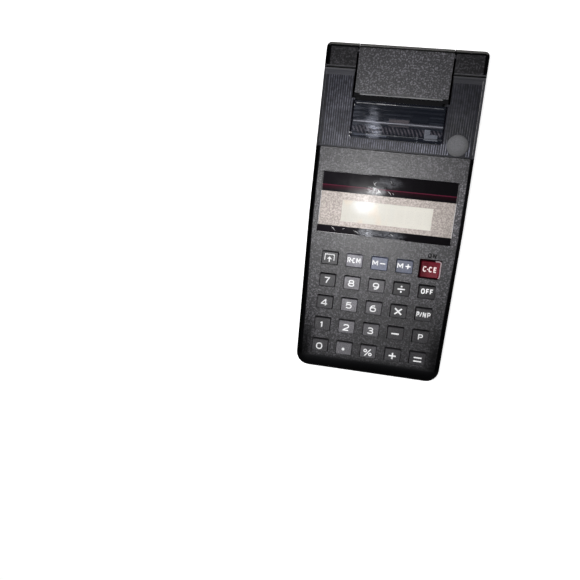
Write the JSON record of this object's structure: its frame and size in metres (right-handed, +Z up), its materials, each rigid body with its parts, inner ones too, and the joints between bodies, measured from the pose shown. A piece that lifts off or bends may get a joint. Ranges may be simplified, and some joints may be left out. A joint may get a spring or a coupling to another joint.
{
  "type": "printing calculator",
  "caption": "Hand-held printing calculator with sprung keys, a flush display lens, a hinged smoked printer cover, a hinged paper cover and a sliding battery door.",
  "frame": {"origin": "middle of the bounding box at the table plane, under the rubber feet", "axes": "+X to the right, +Y towards the printer end, +Z up out of the key face"},
  "size_m": [0.0848, 0.178, 0.0352],
  "materials": {
    "case_grey": "textured",
    "case_black": "satin",
    "smoke": "gloss",
    "clear_smoke": "gloss",
    "lens": "gloss",
    "mask": "satin",
    "lcd": "satin",
    "steel": "satin",
    "zebra": "matte",
    "board": "satin",
    "chip": "satin",
    "mat_rubber": "matte",
    "cell": "gloss",
    "foot": "matte",
    "printer_black": "satin",
    "gear_white": "satin",
    "brass": "satin",
    "carriage": "satin",
    "tab_grey": "satin",
    "ink": "matte",
    "roller_rubber": "matte",
    "paper": "matte",
    "key_grey": "satin",
    "key_violet": "satin",
    "key_blue": "satin",
    "key_red": "satin"
  },
  "bodies": {
    "case": {"top_case": "case_grey", "bottom_case": "case_black", "display_lens": "lens", "display_mask": "mask", "lcd_panel": "lcd", "lcd_connectors": "zebra", "main_board": "board", "board_components": "chip", "key_mat": "mat_rubber", "batteries": "cell", "battery_springs": "steel", "battery_plates": "steel", "adaptor_jack": "case_black", "rubber_feet": "foot", "case_screws": "steel", "printer_frame": "printer_black", "printer_motor": "steel", "guide_shaft": "steel", "ink_roller_holder": "tab_grey", "platen": "roller_rubber", "roll_spindle": "printer_black"},
    "printer_cover": {"printer_cover": "smoke", "printer_window": "clear_smoke"},
    "paper_cover": {"paper_cover": "case_grey", "tear_bar": "steel"},
    "battery_door": {"battery_door": "case_black"},
    "carriage": {"print_carriage": "carriage"},
    "drive_screw": {"drive_screw": "steel", "screw_gear": "gear_white"},
    "idler_gear": {"idler_gear": "gear_white"},
    "motor_pinion": {"motor_pinion": "brass"},
    "type_wheel": {"type_wheel": "printer_black"},
    "ink_roller": {"ink_roller": "ink"},
    "feed_roller": {"feed_roller": "roller_rubber"},
    "paper_roll": {"paper_roll": "paper"},
    "key_feed": {"key_feed": "key_grey"},
    "key_recall": {"key_recall": "key_violet"},
    "key_memory_minus": {"key_memory_minus": "key_blue"},
    "key_memory_plus": {"key_memory_plus": "key_blue"},
    "key_clear": {"key_clear": "key_red"},
    "key_7": {"key_7": "key_grey"},
    "key_8": {"key_8": "key_grey"},
    "key_9": {"key_9": "key_grey"},
    "key_divide": {"key_divide": "key_grey"},
    "key_off": {"key_off": "key_grey"},
    "key_4": {"key_4": "key_grey"},
    "key_5": {"key_5": "key_grey"},
    "key_6": {"key_6": "key_grey"},
    "key_multiply": {"key_multiply": "key_grey"},
    "key_print_mode": {"key_print_mode": "key_grey"},
    "key_1": {"key_1": "key_grey"},
    "key_2": {"key_2": "key_grey"},
    "key_3": {"key_3": "key_grey"},
    "key_minus": {"key_minus": "key_grey"},
    "key_print": {"key_print": "key_grey"},
    "key_0": {"key_0": "key_grey"},
    "key_point": {"key_point": "key_grey"},
    "key_percent": {"key_percent": "key_grey"},
    "key_plus": {"key_plus": "key_grey"},
    "key_equals": {"key_equals": "key_grey"}
  },
  "joints": [
    {"name": "printer_cover_hinge", "type": "hinge", "parent": "case", "child": "printer_cover", "pos_m": [0, 0.0726, 0.029], "axis": [-1, 0, 0], "range_deg": [0, 90]},
    {"name": "paper_cover_hinge", "type": "hinge", "parent": "case", "child": "paper_cover", "pos_m": [0, 0.0858, 0.0298], "axis": [-1, 0, 0], "range_deg": [0, 92]},
    {"name": "battery_door_slide", "type": "slide", "parent": "case", "child": "battery_door", "axis": [0, -1, 0], "range_m": [0, 0.008]},
    {"name": "carriage_slide", "type": "slide", "parent": "case", "child": "carriage", "axis": [1, 0, 0], "range_m": [-0.015, 0.0125]},
    {"name": "drive_screw_turn", "type": "hinge", "parent": "case", "child": "drive_screw", "pos_m": [0, 0.0468, 0.0246], "axis": [1, 0, 0], "range_deg": [-561.1, 673.3]},
    {"name": "idler_turn", "type": "hinge", "parent": "case", "child": "idler_gear", "pos_m": [-0.0302, 0.05102, 0.01598], "axis": [1, 0, 0], "range_deg": [-404, 336.7]},
    {"name": "motor_turn", "type": "hinge", "parent": "case", "child": "motor_pinion", "pos_m": [-0.0302, 0.0446, 0.0112], "axis": [1, 0, 0], "range_deg": [-1010, 1212]},
    {"name": "feed_roller_turn", "type": "hinge", "parent": "case", "child": "feed_roller", "pos_m": [0, 0.056, 0.0105], "axis": [1, 0, 0], "continuous": true},
    {"name": "paper_roll_turn", "type": "hinge", "parent": "case", "child": "paper_roll", "pos_m": [0, 0.0753, 0.0155], "axis": [1, 0, 0], "continuous": true},
    {"name": "type_wheel_turn", "type": "hinge", "parent": "carriage", "child": "type_wheel", "pos_m": [0.0007, 0.0518, 0.02], "axis": [1, 0, 0], "continuous": true},
    {"name": "ink_roller_turn", "type": "hinge", "parent": "case", "child": "ink_roller", "pos_m": [0.0165, 0.0445, 0.0185], "axis": [1, 0, 0], "continuous": true},
    {"name": "key_feed_press", "type": "slide", "parent": "case", "child": "key_feed", "axis": [0, 0, -1], "range_m": [0, 0.001], "stiffness_N_per_m": 200, "springref_m": -0.0008},
    {"name": "key_recall_press", "type": "slide", "parent": "case", "child": "key_recall", "axis": [0, 0, -1], "range_m": [0, 0.001], "stiffness_N_per_m": 200, "springref_m": -0.0008},
    {"name": "key_memory_minus_press", "type": "slide", "parent": "case", "child": "key_memory_minus", "axis": [0, 0, -1], "range_m": [0, 0.001], "stiffness_N_per_m": 200, "springref_m": -0.0008},
    {"name": "key_memory_plus_press", "type": "slide", "parent": "case", "child": "key_memory_plus", "axis": [0, 0, -1], "range_m": [0, 0.001], "stiffness_N_per_m": 200, "springref_m": -0.0008},
    {"name": "key_clear_press", "type": "slide", "parent": "case", "child": "key_clear", "axis": [0, 0, -1], "range_m": [0, 0.001], "stiffness_N_per_m": 200, "springref_m": -0.0008},
    {"name": "key_7_press", "type": "slide", "parent": "case", "child": "key_7", "axis": [0, 0, -1], "range_m": [0, 0.001], "stiffness_N_per_m": 200, "springref_m": -0.0008},
    {"name": "key_8_press", "type": "slide", "parent": "case", "child": "key_8", "axis": [0, 0, -1], "range_m": [0, 0.001], "stiffness_N_per_m": 200, "springref_m": -0.0008},
    {"name": "key_9_press", "type": "slide", "parent": "case", "child": "key_9", "axis": [0, 0, -1], "range_m": [0, 0.001], "stiffness_N_per_m": 200, "springref_m": -0.0008},
    {"name": "key_divide_press", "type": "slide", "parent": "case", "child": "key_divide", "axis": [0, 0, -1], "range_m": [0, 0.001], "stiffness_N_per_m": 200, "springref_m": -0.0008},
    {"name": "key_off_press", "type": "slide", "parent": "case", "child": "key_off", "axis": [0, 0, -1], "range_m": [0, 0.001], "stiffness_N_per_m": 200, "springref_m": -0.0008},
    {"name": "key_4_press", "type": "slide", "parent": "case", "child": "key_4", "axis": [0, 0, -1], "range_m": [0, 0.001], "stiffness_N_per_m": 200, "springref_m": -0.0008},
    {"name": "key_5_press", "type": "slide", "parent": "case", "child": "key_5", "axis": [0, 0, -1], "range_m": [0, 0.001], "stiffness_N_per_m": 200, "springref_m": -0.0008},
    {"name": "key_6_press", "type": "slide", "parent": "case", "child": "key_6", "axis": [0, 0, -1], "range_m": [0, 0.001], "stiffness_N_per_m": 200, "springref_m": -0.0008},
    {"name": "key_multiply_press", "type": "slide", "parent": "case", "child": "key_multiply", "axis": [0, 0, -1], "range_m": [0, 0.001], "stiffness_N_per_m": 200, "springref_m": -0.0008},
    {"name": "key_print_mode_press", "type": "slide", "parent": "case", "child": "key_print_mode", "axis": [0, 0, -1], "range_m": [0, 0.001], "stiffness_N_per_m": 200, "springref_m": -0.0008},
    {"name": "key_1_press", "type": "slide", "parent": "case", "child": "key_1", "axis": [0, 0, -1], "range_m": [0, 0.001], "stiffness_N_per_m": 200, "springref_m": -0.0008},
    {"name": "key_2_press", "type": "slide", "parent": "case", "child": "key_2", "axis": [0, 0, -1], "range_m": [0, 0.001], "stiffness_N_per_m": 200, "springref_m": -0.0008},
    {"name": "key_3_press", "type": "slide", "parent": "case", "child": "key_3", "axis": [0, 0, -1], "range_m": [0, 0.001], "stiffness_N_per_m": 200, "springref_m": -0.0008},
    {"name": "key_minus_press", "type": "slide", "parent": "case", "child": "key_minus", "axis": [0, 0, -1], "range_m": [0, 0.001], "stiffness_N_per_m": 200, "springref_m": -0.0008},
    {"name": "key_print_press", "type": "slide", "parent": "case", "child": "key_print", "axis": [0, 0, -1], "range_m": [0, 0.001], "stiffness_N_per_m": 200, "springref_m": -0.0008},
    {"name": "key_0_press", "type": "slide", "parent": "case", "child": "key_0", "axis": [0, 0, -1], "range_m": [0, 0.001], "stiffness_N_per_m": 200, "springref_m": -0.0008},
    {"name": "key_point_press", "type": "slide", "parent": "case", "child": "key_point", "axis": [0, 0, -1], "range_m": [0, 0.001], "stiffness_N_per_m": 200, "springref_m": -0.0008},
    {"name": "key_percent_press", "type": "slide", "parent": "case", "child": "key_percent", "axis": [0, 0, -1], "range_m": [0, 0.001], "stiffness_N_per_m": 200, "springref_m": -0.0008},
    {"name": "key_plus_press", "type": "slide", "parent": "case", "child": "key_plus", "axis": [0, 0, -1], "range_m": [0, 0.001], "stiffness_N_per_m": 200, "springref_m": -0.0008},
    {"name": "key_equals_press", "type": "slide", "parent": "case", "child": "key_equals", "axis": [0, 0, -1], "range_m": [0, 0.001], "stiffness_N_per_m": 200, "springref_m": -0.0008}
  ],
  "couplings": [
    {"joint": "drive_screw_turn", "follows": "carriage_slide", "rad_per_m": -775.7},
    {"joint": "idler_turn", "follows": "carriage_slide", "rad_per_m": 465.42},
    {"joint": "motor_turn", "follows": "carriage_slide", "rad_per_m": -1396.3}
  ]
}
